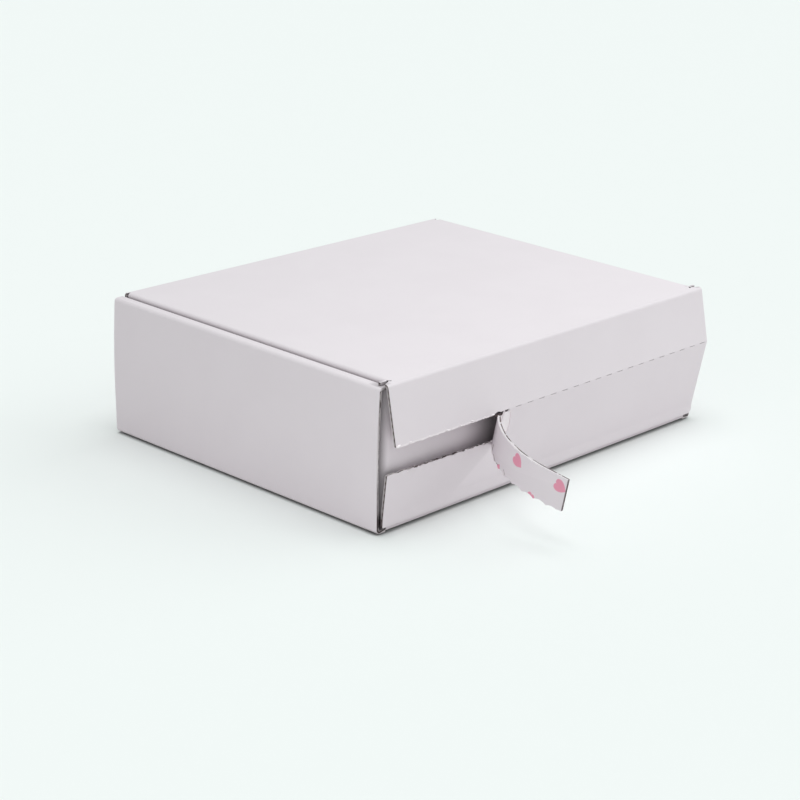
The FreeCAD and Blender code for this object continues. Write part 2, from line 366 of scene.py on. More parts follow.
@dataclass(frozen=True)
class LightDrift:
    """Painted light and shade on the liner: its lightness drifts slowly over the box, is lower on the front
    flap, and is lower left and higher right of the lower panel's slanting bend.
    """

    sideways: float = 0.17
    backwards: float = -0.5
    flap: Span = (-96.0 * MM, -93.0 * MM)
    flap_change: float = -0.035
    bend_place: Span = (-60.3 * MM, 18.4 * MM)
    bend_normal: Span = (0.616, 0.801)
    bend_edge: Span = (-1.2 * MM, 1.2 * MM)
    bend_fade: Span = (-34.0 * MM, -3.0 * MM)
    bend_left: float = -0.032
    bend_right: float = 0.030
    panel_front: Span = (-96.6 * MM, -95.6 * MM)
    panel_top: Span = (30.0 * MM, 31.0 * MM)
    panel_right: Span = (-46.0 * MM, -30.0 * MM)

    def build(self) -> Tree:
        """Make the group, whose lightness is about 1."""
        make, given, lightness = new_group("Painted light drift", ("Vector",), (), "Lightness")
        x, y, z = make.parts(given["Vector"])
        # painted shade: the front flap a little darker
        flap = make.times(make.fall(y, self.flap), self.flap_change)
        # painted light: lighter towards the right and the front
        sheet = make.plus(make.times(x, self.sideways), make.times(y, self.backwards), flap, 1.0)
        # painted shade left of the lower panel's slanting bend, painted light right of it
        past = make.plus(make.times(make.minus(x, self.bend_place[0]), self.bend_normal[0]),
                         make.times(make.minus(self.bend_place[1], z), self.bend_normal[1]))
        left = make.times(make.ramp(past, self.bend_fade), make.fall(past, self.bend_edge), self.bend_left)
        right = make.times(make.ramp(past, self.bend_edge), self.bend_right)
        panel = make.times(make.fall(y, self.panel_front), make.fall(z, self.panel_top),
                           make.fall(x, self.panel_right))
        make.feed(lightness, make.plus(sheet, make.times(make.plus(left, right), panel)))
        return make.tree


@dataclass(frozen=True)
class FoldShade:
    """Painted shade in the folds, behind the torn opening, in the corner pockets and recesses, and in
    crevices found by ambient occlusion: where it lies and how dark it is.
    """

    pocket_side: float = 120.6 * MM
    pocket_reach: Span = (2.9 * MM, 3.4 * MM)
    pocket_rear: Span = (-88.0 * MM, -84.0 * MM)
    pocket_top: Span = (5.5 * MM, 14.0 * MM)
    pocket_foot: Span = (2.2 * MM, 3.6 * MM)
    pocket_depth: float = 0.93
    wall_front: Span = (-95.6 * MM, -94.6 * MM)
    wall_rear: Span = (-93.0 * MM, -90.0 * MM)
    root_left: Span = (-68.0 * MM, -44.0 * MM)
    root_right: Span = (-38.0 * MM, -30.0 * MM)
    root_foot: Span = (20.0 * MM, 27.0 * MM)
    root_top: Span = (45.0 * MM, 52.0 * MM)
    root_depth: float = 0.42
    recess_side: Span = (118.0 * MM, 121.0 * MM)
    recess_depth: float = 0.27
    crevice_reach: float = 7.0 * MM
    crevice_side: Span = (108.0 * MM, 117.0 * MM)
    crevice_power: Span = (0.1, 0.4)

    def build(self) -> Tree:
        """Make the group, whose shade is 1 in the open and 0 in the dark."""
        make, given, shade = new_group("Fold shade", ("Vector",), (), "Shade")
        x, y, z = make.parts(given["Vector"])
        side = make.math("ABSOLUTE", x)
        behind = make.ramp(y, self.wall_front)
        # painted shade in the front corners, between the side walls' front ends and the front wall
        corner = make.times(make.fall(make.apart(side, self.pocket_side), self.pocket_reach),
                            make.fall(y, self.pocket_rear), behind)
        pocket = make.times(corner, make.fall(z, self.pocket_top), make.ramp(z, self.pocket_foot),
                            self.pocket_depth)
        # painted shade on the front wall behind the torn opening, near the strip's root
        tear = make.times(make.ramp(x, self.root_left), make.fall(x, self.root_right), behind,
                          make.fall(y, self.wall_rear), make.ramp(z, self.root_foot),
                          make.fall(z, self.root_top), self.root_depth)
        # painted shade in the recess beside each side wall's front end
        recess = make.times(corner, make.ramp(side, self.recess_side), self.recess_depth)
        # painted shade in crevices, from ambient occlusion
        open_air = make.math("POWER", make.crevice(self.crevice_reach, True),
                             make.ramp(side, self.crevice_side, self.crevice_power))
        dark = make.largest(pocket, tear, recess)
        make.feed(shade, make.times(open_air, make.minus(1.0, dark)))
        return make.tree


class EffectGroups:
    """Shader effects that several finishes share, each built once as a node group."""

    def __init__(self) -> None:
        """Build every group."""
        self.grain = self.paper_noise("Paper grain", 2600.0, 0.6, (0.0, 1.0), False)
        self.mottle = self.paper_noise("Paper mottle", 34.0, 0.55, (0.3, 0.7), True)
        self.washboard = self.flute_washboard()
        self.heart = self.heart_shape()
        self.line = self.line_mark()
        # painted shade in folds and crevices, and painted light and shade drifting over the liner
        self.fold_shade = FoldShade().build()
        self.drift = LightDrift().build()

    @staticmethod
    def paper_noise(name: str, scale: float, roughness: float, span: Span, smooth: bool) -> Tree:
        """Unevenness of paper: its fine fibre grain, or its slow mottling.

        Args:
            name: the group's name.
            scale: how fine it is.
            roughness: how rough it is.
            span: noise that gives 0 and 1.
            smooth: whether the step between is smooth.

        Returns:
            The group.
        """
        make, given, result = new_group(name, ("Vector",), (), "Value")
        make.feed(result, make.ramp(make.noise(given["Vector"], scale, 3.0, roughness), span, smooth=smooth))
        return make.tree

    @staticmethod
    def flute_washboard() -> Tree:
        """Faint ridges of the flutes under a liner."""
        make, given, height = new_group("Flute washboard", (), ("Across", "Pitch"), "Height")
        turns = make.math("DIVIDE", given["Across"], given["Pitch"])
        wave = make.math("SINE", make.times(turns, 2 * math.pi))
        make.feed(height, make.ramp(wave, (-1.0, 1.0), smooth=False))
        return make.tree

    @staticmethod
    def heart_shape() -> Tree:
        """One printed heart at a place in the flat pattern."""
        make, given, mask = new_group("Printed heart", ("Vector",), ("U", "V", "Turn", "Size"), "Mask")
        along, across, _ = make.parts(given["Vector"])
        u = make.math("DIVIDE", make.minus(along, given["U"]), given["Size"])
        v = make.math("DIVIDE", make.minus(across, given["V"]), given["Size"])
        cosine, sine = make.math("COSINE", given["Turn"]), make.math("SINE", given["Turn"])
        width = make.math("ABSOLUTE", make.plus(make.times(u, cosine), make.times(v, sine)))
        y = make.minus(make.times(v, cosine), make.times(u, sine))
        bow = make.minus(y, make.times(make.math("SQRT", width), HEART_CLEFT))
        reach = make.plus(make.times(width, width), make.times(bow, bow))
        make.feed(mask, make.fall(reach, (0.92, 1.12)))
        return make.tree

    @staticmethod
    def line_mark() -> Tree:
        """One thin straight mark between two places."""
        make, given, mask = new_group("Line mark", ("Vector", "From", "To"), ("Width",), "Mask")
        ahead = make.vector("SUBTRACT", given["To"], given["From"]).outputs[0]
        reach = make.vector("SUBTRACT", given["Vector"], given["From"]).outputs[0]
        length = make.vector("DOT_PRODUCT", ahead, ahead).outputs["Value"]
        gone = make.vector("DOT_PRODUCT", reach, ahead).outputs["Value"]
        share = make.math("DIVIDE", gone, length, clamp=True)
        beside = make.vector("SUBTRACT", reach, make.scale(ahead, share)).outputs[0]
        off = make.vector("LENGTH", beside).outputs["Value"]
        make.feed(mask, make.fall(make.math("DIVIDE", off, given["Width"]), (0.25, 0.6)))
        return make.tree


@dataclass
class Canvas:
    """What a finish is painted with: nodes, effects, its shader, the place on the piece and the grain."""

    make: NodeMaker
    effects: EffectGroups
    shader: Node
    place: Socket
    grain: Socket


@dataclass(frozen=True)
class Finish:
    """A finish: its name, its least and greatest roughness and how strongly it reflects."""

    name: str
    roughness: Span = (0.8, 0.95)
    shine: float = 0.1

    def paint(self, canvas: Canvas) -> Socket:
        """Add the finish's own nodes and return its colour."""
        raise NotImplementedError

    def build(self, effects: EffectGroups) -> Material:
        """Make the material.

        Args:
            effects: shared effect groups.

        Returns:
            The material.
        """
        material = bpy.data.materials.new(self.name)
        material.use_nodes = True
        material.node_tree.nodes.clear()
        make = NodeMaker(material.node_tree)
        output = make.node("ShaderNodeOutputMaterial")
        place = make.node("ShaderNodeTexCoord").outputs["Object"]
        grain = make.group(effects.grain, Vector=place)
        shader = make.node("ShaderNodeBsdfPrincipled")
        low, high = self.roughness
        rough = make.ramp(grain, GRAIN_SPAN, (low, high)) if low < high else low
        make.feed(shader.inputs["Roughness"], rough)
        make.feed(shader.inputs["Specular IOR Level"], self.shine)
        make.feed(shader.inputs["Base Color"], self.paint(Canvas(make, effects, shader, place, grain)))
        make.feed(output.inputs["Surface"], shader.outputs[0])
        return material


@dataclass(frozen=True)
class LinerFinish(Finish):
    """White coated liner of the board, with faint flute ridges, painted light and shade drifting over it, and
    painted shade in its folds.
    """

    name: str = "White board liner"
    roughness: Span = (0.56, 0.68)
    shine: float = 0.28
    colour: Colour = (0.806, 0.724, 0.767)
    shade: Colour = (0.786, 0.704, 0.747)
    # colour of the painted shade in the folds
    deep: Colour = (0.030, 0.022, 0.023)
    mottling: float = 0.6
    ridge_depth: float = 0.010 * MM
    grain_depth: float = 0.003 * MM
    waviness: float = 0.5 * MM
    wave_scale: float = 13.0
    relief: float = 0.6

    def paint(self, canvas: Canvas) -> Socket:
        """Add the mottled sheet with its painted light and shade drift, its painted shade in the folds, and
        its relief.
        """
        make, effects, place = canvas.make, canvas.effects, canvas.place
        mottled = make.mix(make.times(make.group(effects.mottle, Vector=place), self.mottling),
                           self.colour, self.shade)
        # painted light and shade drifting over the sheet
        sheet = make.scale(mottled, make.group(effects.drift, Vector=place))
        pitch = BoardSizes().flute_pitch
        ridges = make.group(effects.washboard, Across=make.attribute("across"), Pitch=pitch)
        height = make.plus(make.times(ridges, self.ridge_depth), make.times(canvas.grain, self.grain_depth),
                           make.times(make.noise(place, self.wave_scale, 1.0), self.waviness))
        make.bump(canvas.shader, height, self.relief)
        # painted shade in the folds, the tear, the corner pockets and crevices
        return make.mix(make.group(effects.fold_shade, Vector=place), self.deep, sheet)


@dataclass(frozen=True)
class Heart:
    """A printed heart, in millimetres and degrees: place along and across the strip, turn, half size."""

    along: float
    across: float
    turn: float
    size: float


@dataclass(frozen=True)
class Mark:
    """A thin line of painted shadow on the flat strip, in millimetres: where it starts and ends, and its
    width.
    """

    start: Span
    end: Span
    width: float


@dataclass(frozen=True)
class PrintedLinerFinish(LinerFinish):
    """Inside liner, printed with scattered pink hearts, frayed along the strip's upper edge, and with painted
    shadow lines along the strip's lower edge.
    """

    name: str = "Printed inside liner"
    ink: Colour = (0.83, 0.33, 0.45)
    fibre: Colour = (0.95, 0.88, 0.91)
    # colour and strength of the painted shadow lines along the strip's lower edge
    edge_shadow: Colour = (0.24, 0.18, 0.18)
    edge_shadow_depth: float = 0.7
    fray_scale: float = 330.0
    fray_rag: float = 1.3 * MM
    fray_width: Span = (0.75 * MM, 1.15 * MM)
    fray_end: Span = (58.0 * MM, 64.0 * MM)
    fray_left: float = 0.2
    hearts: tuple[Heart, ...] = (
        Heart(42.8, 5.5, 118, 3.2), Heart(70.1, 5.4, 108, 3.15), Heart(27.3, 16.5, 20, 2.0),
        Heart(54.3, 18.4, 200, 2.2))
    # painted shadow lines beside the strip's curling lower edge
    shadow_lines: tuple[Mark, ...] = (
        Mark((12.6, 12.6), (12.0, 15.4), 1.3), Mark((17.0, 15.4), (21.6, 16.8), 0.9),
        Mark((23.4, 16.5), (26.2, 15.9), 0.5), Mark((32.6, 15.0), (34.6, 16.6), 0.5))

    def paint(self, canvas: Canvas) -> Socket:
        """Add the frayed upper edge, the hearts and the painted shadow lines to the liner."""
        make, effects = canvas.make, canvas.effects
        colour = super().paint(canvas)
        flat = make.node("ShaderNodeUVMap", uv_map="Print").outputs[0]
        along, across, _ = make.parts(flat)
        on_strip = make.attribute("strip")
        ragged = make.plus(across, make.times(make.line_noise(along, self.fray_scale), self.fray_rag))
        frayed = make.times(make.fall(ragged, self.fray_width), on_strip,
                            make.ramp(along, self.fray_end, (1.0, self.fray_left)))
        colour = make.mix(frayed, colour, self.fibre)
        printed = [make.group(effects.heart, Vector=flat, U=heart.along * MM, V=heart.across * MM,
                              Turn=math.radians(heart.turn), Size=heart.size * MM) for heart in self.hearts]
        colour = make.mix(make.largest(*printed), colour, self.ink)
        # painted shadow lines
        for mark in self.shadow_lines:
            start, end = ((*(part * MM for part in spot), 0.0) for spot in (mark.start, mark.end))
            mask = make.group(effects.line, Vector=flat, From=start, To=end, Width=mark.width * MM)
            colour = make.mix(make.times(mask, on_strip, self.edge_shadow_depth), colour, self.edge_shadow)
        return colour


@dataclass(frozen=True)
class CutEdgeFinish(Finish):
    """Raw cut edge: two liners with the fluted medium between them, crushed and paler where it was torn, with
    painted shade in the flute hollows, along the torn strip's edge and in the folds.

    Depth runs from 0 at the outer liner to 1 at the inner one.
    """

    name: str = "Raw board edge"
    liner: Colour = (0.76, 0.69, 0.71)
    crushed: Colour = (0.66, 0.59, 0.59)
    medium: Colour = (0.34, 0.28, 0.28)
    # painted shade in the flute hollows and in the folds
    hollow: Colour = (0.075, 0.056, 0.060)
    fibre: Colour = (0.77, 0.70, 0.73)
    # painted shade in dashes along the torn strip's edge and on the strip's tip
    split_shade: Colour = (0.085, 0.050, 0.055)
    # painted light on the far side of the flute hollows
    inside: Colour = (0.46, 0.41, 0.42)
    liner_edge: Span = (0.3505, 0.3895)
    torn_spread: float = 0.1
    wave_middle: float = 0.48
    wave_height: float = 0.12
    medium_edge: Span = (0.05, 0.10)
    inside_edge: Span = (-0.02, 0.03)
    streak_scale: float = 210.0
    streak_edge: Span = (0.3, 0.7)
    streak_depth: Span = (0.15, 0.85)
    crush_scale: float = 420.0
    crush_edge: Span = (0.47, 0.56)
    dash_scale: float = 160.0
    dash_edge: Span = (0.36, 0.46)
    split_depth: float = 0.28
    split_edge: Span = (0.16, 0.26)
    tip: Span = (-161.0 * MM, -160.5 * MM)
    tip_depth: float = 0.75
    relief: float = 0.1 * MM

    def paint(self, canvas: Canvas) -> Socket:
        """Add the liners, the medium between them with painted shade and light in its hollows, the torn
        strip's edge with dashes of painted shade, and the painted shade of the folds.
        """
        make, effects, place = canvas.make, canvas.effects, canvas.place
        depth, along, ends, torn = (make.attribute(name) for name in ("depth", "along", "flute_ends", "torn"))
        turns = make.times(along, 2 * math.pi / BoardSizes().flute_pitch)
        wave = make.plus(make.times(make.math("SINE", turns), self.wave_height), self.wave_middle)
        streak = make.ramp(make.line_noise(along, self.streak_scale), self.streak_edge, self.streak_depth,
                           smooth=False)
        line = make.plus(make.times(wave, ends), make.times(streak, make.minus(1.0, ends)))
        is_medium = make.fall(make.apart(depth, line), self.medium_edge)
        # painted shade in the flute hollows, painted light beyond them
        beyond = make.ramp(make.minus(depth, line), self.inside_edge)
        inner = make.mix(is_medium, make.mix(beyond, self.hollow, self.inside), self.medium)
        closed = make.times(torn, make.ramp(make.line_noise(along, self.crush_scale), self.crush_edge))
        inner = make.mix(closed, inner, self.crushed)
        from_middle = make.plus(make.apart(depth, 0.5), make.times(torn, self.torn_spread))
        is_liner = make.ramp(from_middle, self.liner_edge)
        colour = make.mix(is_liner, inner, self.liner)
        # dashes of painted shade along the torn strip's edge
        dashes = make.ramp(make.line_noise(along, self.dash_scale), self.dash_edge)
        is_split = make.times(make.fall(make.apart(depth, self.split_depth), self.split_edge), dashes)
        colour = make.mix(make.attribute("strip"), colour, make.mix(is_split, self.fibre, self.split_shade))
        # painted shade on the open flute ends at the strip's tip
        tip = make.times(make.fall(make.parts(place)[1], self.tip), self.tip_depth, ends)
        colour = make.mix(tip, colour, self.split_shade)
        make.bump(canvas.shader, make.times(make.largest(is_medium, is_liner), self.relief))
        # painted shade in the folds, the tear and crevices
        return make.mix(make.group(effects.fold_shade, Vector=place), self.hollow, colour)


@dataclass(frozen=True)
class TornPaperFinish(Finish):
    """Soft paper that a tear lays bare."""

    name: str = "Torn paper"
    roughness: Span = (0.85, 1.0)
    colour: Colour = (0.95, 0.87, 0.90)
    hollow: Colour = (0.84, 0.76, 0.79)
    fibre_scale: float = 900.0
    fibre_edge: Span = (0.42, 0.3)
    fibre_depth: float = 0.12 * MM

    def paint(self, canvas: Canvas) -> Socket:
        """Add the fibres."""
        make = canvas.make
        fibres = make.noise(canvas.place, self.fibre_scale, 4.0, 0.7)
        make.bump(canvas.shader, make.times(fibres, self.fibre_depth))
        return make.mix(make.ramp(fibres, self.fibre_edge), self.colour, self.hollow)


@dataclass(frozen=True)
class GlueFinish(Finish):
    """Translucent off-white hot-melt adhesive."""

    name: str = "Hot-melt adhesive"
    roughness: Span = (0.3, 0.45)
    shine: float = 0.5
    colour: Colour = (0.72, 0.66, 0.52)
    shade: Colour = (0.612, 0.561, 0.442)

    def paint(self, canvas: Canvas) -> Socket:
        """Add the slow mottling."""
        mottle = canvas.make.group(canvas.effects.mottle, Vector=canvas.place)
        return canvas.make.mix(mottle, self.colour, self.shade)


@dataclass(frozen=True)
class FloorFinish(Finish):
    """Pale floor, darker where the box touches it."""

    name: str = "Pale floor"
    roughness: Span = (0.9, 0.9)
    colours: tuple[Colour, Colour] = ((0.863, 0.863, 0.863), (0.867, 0.867, 0.867))
    contact: Colour = (0.42, 0.42, 0.42)
    speck_scale: float = 40.0
    reach: float = 3.5 * MM
    contact_edge: Span = (0.25, 0.8)

    def paint(self, canvas: Canvas) -> Socket:
        """Add faint specks and the contact shade."""
        make = canvas.make
        pale = make.mix(make.noise(canvas.place, self.speck_scale), *self.colours)
        touching = make.ramp(make.crevice(self.reach, False), self.contact_edge, smooth=False)
        return make.mix(touching, self.contact, pale)


class StripPath:
    """Flat coordinates of the torn strip: along its curl and across its width."""

    def __init__(self, sizes: BoardSizes) -> None:
        """Work out the curl's straight root, arc and straight end."""
        self.sizes = sizes
        root, bent, radius = sizes.root_angle, sizes.curl_angle, sizes.curl_radius
        self.start = Vector((sizes.tear_x - sizes.root_radius * math.cos(root),
                             sizes.root_radius * math.sin(root) - sizes.thickness))
        self.centre = self.start + radius * Vector((math.sin(root), math.cos(root)))
        self.arc_length = radius * (bent - root)

    def flat(self, point: Vector) -> Span:
        """Unroll a point of the strip.

        Args:
            point: place in the part's frame.

        Returns:
            Distance along the strip from the tear, and distance down from its upper edge.
        """
        lean = self.sizes.lean
        dy, dz = point.y - self.sizes.crease_y, point.z - self.sizes.crease_z
        out = -dy * math.cos(lean) - dz * math.sin(lean)
        across = dy * math.sin(lean) - dz * math.cos(lean)
        root, bent = self.sizes.root_angle, self.sizes.curl_angle
        spoke = Vector((point.x, out)) - self.centre
        angle = math.atan2(-spoke.x, -spoke.y)
        if angle < root:
            ahead = Vector((point.x - self.start.x, out - self.start.y))
            along = self.sizes.root_radius + ahead.dot(Vector((-math.cos(root), math.sin(root))))
        elif angle < bent:
            along = self.sizes.root_radius + self.sizes.curl_radius * (angle - root)
        else:
            end = self.centre - self.sizes.curl_radius * Vector((math.sin(bent), math.cos(bent)))
            ahead = Vector((point.x - end.x, out - end.y))
            along = (self.sizes.root_radius + self.arc_length
                     + ahead.dot(Vector((-math.cos(bent), math.sin(bent)))))
        return along, across


def added(operator: Callable, **values: object) -> Piece:
    """Add a primitive with nothing else selected, and return it."""
    deselect_all()
    operator(**values)
    return bpy.context.active_object


def settle(item: Piece, name: str, material: Material | None) -> Piece:
    """Name a new piece, give it its material and move its place into its mesh.

    Args:
        item: the new piece.
        name: its name.
        material: its material, or None for one that only cuts.

    Returns:
        The same piece.
    """
    item.name = name
    item.data.name = name
    if material is not None:
        item.data.materials.append(material)
    activate(item)
    bpy.ops.object.transform_apply(location=True, rotation=True, scale=True)
    return item


def thicken(item: Piece, thickness: float) -> None:
    """Give a thin sheet its thickness."""
    modifier = item.modifiers.new("Thickness", "SOLIDIFY")
    modifier.thickness = thickness
    activate(item)
    bpy.ops.object.modifier_apply(modifier=modifier.name)


def pick(item: Piece, wanted: Callable[[Vector], bool]) -> None:
    """Select the vertices of one object, by their places, and enter edit mode.

    Args:
        item: the object.
        wanted: tells for a vertex's place whether it is selected.
    """
    edit_mesh(item)
    bpy.ops.mesh.select_mode(type="VERT")
    bpy.ops.mesh.select_all(action="DESELECT")
    leave_edit()
    for vertex in item.data.vertices:
        vertex.select = wanted(vertex.co)
    bpy.ops.object.mode_set(mode="EDIT")


@dataclass
class TornPaper:
    """Ragged paper along the tear: a fringe on the flap, tufts, flakes, and the place where the liner peeled;
    some flakes are near-black fluting, painted shade in the open flutes.

    Places and sizes of the tufts, flakes and notches are in millimetres: along the box, then up or down
    from the flap's middle crease.
    """

    sizes: BoardSizes
    paper: Material
    # near-black fluting, painted shade in the open flutes under the tear
    shaded_fluting: Material
    lip: Material
    fringe_cuts: tuple[int, int] = (132, 3)
    fringe_end: float = -54.0 * MM
    fringe_height: float = 0.85 * MM
    fringe_overlap: float = 0.25 * MM
    fringe_thickness: float = 0.16 * MM
    fringe_rag: float = 0.32 * MM
    peel_middle: Span = (-47.0 * MM, 8.0 * MM)
    peel_reach: Span = (7.5 * MM, 10.6 * MM)
    peel_turn: float = math.radians(6)
    peel_top: float = 1.15 * MM
    peel_foot: float = 16.2 * MM
    peel_rim: float = 0.4 * MM
    peel_lift: float = 0.4 * MM
    # flakes whose second value is True are near-black fluting, painted shade in the open flutes
    flakes: tuple[tuple[str, bool, Place, Span, float, int], ...] = (
        ("torn_flake", False, (-46.3, 7.0, 1.25), (1.5, 6.3), 0.05, 5),
        ("torn_flake_small", False, (-48.4, 4.2, 0.9), (0.8, 2.6), 0.2, 9),
        ("shaded_torn_flute", True, (-50.0, 1.3, 0.25), (3.3, 0.72), 0.03, 4),
        ("shaded_flute_tip", True, (-47.7, 2.3, 0.3), (0.5, 1.1), 0.0, 6),
        *((f"shaded_open_flute_{count}", True, (x, 15.3, -0.6), (1.5, 0.4), 0.02, 20 + count)
          for count, x in enumerate((-104.3, -97.3, -90.2, -84.1, -77.2))))
    flake_rag: float = 0.22 * MM
    flake_thickness: float = 0.2 * MM
    tuft_rag: float = 0.35
    tuft_shape: Place = (0.8, 0.25, 0.3)
    tuft_places: tuple[Place, ...] = (
        (-120.7, 0.1, 2.6), (-112.8, 0.3, 1.4), (-99.5, 0.1, 0.9), (-86.6, -0.1, 1.5), (-77.4, -0.1, 1.6),
        (-69.2, 0.3, 1.2), (-60.3, 0.0, 0.9), (-54.2, -0.2, 1.4))
    low_tuft_places: tuple[Place, ...] = (
        (-110.5, 15.8, 0.8), (-69.6, 15.4, 1.1), (-62.8, 15.6, 1.3), (-56.8, 15.4, 1.0), (-50.4, 15.5, 1.5))
    notches: tuple[tuple[int, float, float, float, float], ...] = (
        (3, -47.7, 1.2, 2.1, 2.2), (6, -50.2, 0.8, 3.1, 1.3), (8, -43.8, 0.55, 1.5, 0.5))
    pieces: list[Piece] = field(default_factory=list)

    def build(self) -> None:
        """Build the fringe, the tufts, the peeled place and the flakes."""
        self.fringe()
        self.tufts()
        self.peeled()
        for name, is_shaded_fluting, place, reach, turn, seed in self.flakes:
            self.flake(name, self.shaded_fluting if is_shaded_fluting else self.paper, place, reach, turn, seed)
        for piece in self.pieces:
            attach(piece, "root")

    def fringe(self) -> None:
        """Thin ragged lip of liner that hangs from the flap's torn edge."""
        sizes = self.sizes
        length = sizes.flap_x + self.fringe_end
        low = self.fringe_overlap - self.fringe_height
        middle = sizes.on_upper(length / 2 - sizes.flap_x, low + self.fringe_height / 2, 0.02 * MM)
        columns, rows = self.fringe_cuts
        lip = added(bpy.ops.mesh.primitive_grid_add, x_subdivisions=columns, y_subdivisions=rows, size=1.0,
                    location=middle, rotation=(math.pi / 2 - sizes.upper_lean, 0.0, 0.0))
        lip.scale = (length, self.fringe_height, 1.0)
        settle(lip, "torn_fringe", self.lip)
        foot = sizes.on_upper(0.0, low).z + 0.05 * MM
        pick(lip, lambda place: place.z < foot)
        bpy.ops.transform.vertex_random(offset=self.fringe_rag, uniform=0.0, normal=0.0, seed=7)
        leave_edit()
        thicken(lip, self.fringe_thickness)
        self.pieces.append(lip)

    def tufts(self) -> None:
        """Small raised flakes of paper fibre on the torn edge."""
        sizes = self.sizes
        first = added(bpy.ops.mesh.primitive_ico_sphere_add, subdivisions=2, radius=1.0)
        edit_mesh(first)
        bpy.ops.transform.vertex_random(offset=self.tuft_rag, uniform=0.0, normal=0.0, seed=3)
        leave_edit()
        bpy.ops.object.shade_smooth()
        places = [(sizes.on_upper(x * MM, up * MM, 0.1 * MM), size) for x, up, size in self.tuft_places]
        places += [(sizes.on_lower(x * MM, down * MM, 0.0), size) for x, down, size in self.low_tuft_places]
        for count, (place, size) in enumerate(places):
            copy = bpy.data.objects.new(f"torn_tuft_{count}", first.data.copy())
            bpy.context.scene.collection.objects.link(copy)
            copy.location = place
            copy.rotation_euler = (0.4 + 0.7 * count, 0.35 * math.sin(5 * count), 0.3 * math.cos(3 * count))
            copy.scale = tuple(part * size * MM for part in self.tuft_shape)
            self.pieces.append(settle(copy, f"torn_tuft_{count}", self.paper))
        bpy.data.objects.remove(first)

    def peeled(self) -> None:
        """Half-round place beside the strip's root where the outer liner peeled, with a lifted rim."""
        sizes = self.sizes
        x, down = self.peel_middle
        patch = added(bpy.ops.mesh.primitive_circle_add, vertices=48, radius=1.0, fill_type="NGON",
                      location=sizes.on_lower(x, down, 0.03 * MM),
                      rotation=(math.pi / 2 + sizes.lean, self.peel_turn, 0.0))
        patch.scale = (*self.peel_reach, 1.0)
        settle(patch, "peeled_liner", self.paper)
        outward = sizes.on_lower(0.0, 0.0, 1.0) - sizes.on_lower(0.0, 0.0, 0.0)
        edit_mesh(patch)
        bpy.ops.mesh.select_mode(type="FACE")
        bpy.ops.mesh.inset(thickness=self.peel_rim)
        bpy.ops.transform.translate(value=outward * self.peel_lift)
        sink = tuple(-outward * self.peel_lift * 0.9)
        bpy.ops.mesh.extrude_region_move(TRANSFORM_OT_translate={"value": sink})
        left = Vector((sizes.tear_x + 0.4 * MM, 0.0, 0.0))
        top, foot = sizes.on_lower(0.0, self.peel_top), sizes.on_lower(0.0, self.peel_foot)
        rightwards, upwards = (1.0, 0.0, 0.0), (0.0, 0.0, 1.0)
        for place, normal, inner in ((left, rightwards, True), (top, upwards, False), (foot, upwards, True)):
            bpy.ops.mesh.select_all(action="SELECT")
            bpy.ops.mesh.bisect(plane_co=place, plane_no=normal, clear_inner=inner, clear_outer=not inner)
        leave_edit()
        self.pieces.append(patch)

    def flake(self, name: str, material: Material, place: Place,
              reach: Span, turn: float, seed: int) -> None:
        """One thin ragged flake on the flap's lower half: torn paper, or near-black fluting as painted shade
        in an open flute.

        Args:
            name: the piece's name.
            material: its finish.
            place: along the box, down from the crease and outwards, in millimetres.
            reach: half its width and half its height, in millimetres.
            turn: its turn in the flap's plane.
            seed: seed of its ragged outline.
        """
        scrap = added(bpy.ops.mesh.primitive_circle_add, vertices=18, radius=1.0, fill_type="TRIFAN",
                      location=self.sizes.on_lower(*(part * MM for part in place)),
                      rotation=(math.pi / 2 + self.sizes.lean, turn, 0.0))
        scrap.scale = (reach[0] * MM, reach[1] * MM, 1.0)
        settle(scrap, name, material)
        edit_mesh(scrap)
        bpy.ops.transform.vertex_random(offset=self.flake_rag, uniform=0.0, normal=0.0, seed=seed)
        bpy.ops.mesh.subdivide(number_cuts=1, smoothness=0.2)
        leave_edit()
        thicken(scrap, self.flake_thickness)
        self.pieces.append(scrap)

    def notch_cutters(self) -> list[Piece]:
        """Cutters for the torn notches at the strip's root, and for the one opened cut beside it.

        Returns:
            The cutters, which are removed once they have cut.
        """
        sizes = self.sizes
        cutters = []
        for vertices, x, down, wide, high in self.notches:
            cutter = added(bpy.ops.mesh.primitive_cylinder_add, vertices=vertices, radius=1.0 * MM,
                           depth=9 * MM, location=sizes.on_lower(x * MM, down * MM, 1.5 * MM))
            edit_mesh(cutter)
            bpy.ops.transform.rotate(value=math.pi / 3, orient_axis="Z", center_override=cutter.location)
            leave_edit()
            cutter.rotation_euler = (math.pi / 2 + sizes.lean, 0.0, 0.0)
            cutter.scale = (wide, high, 1.0)
            cutters.append(settle(cutter, f"notch_{len(cutters)}", None))
        return cutters


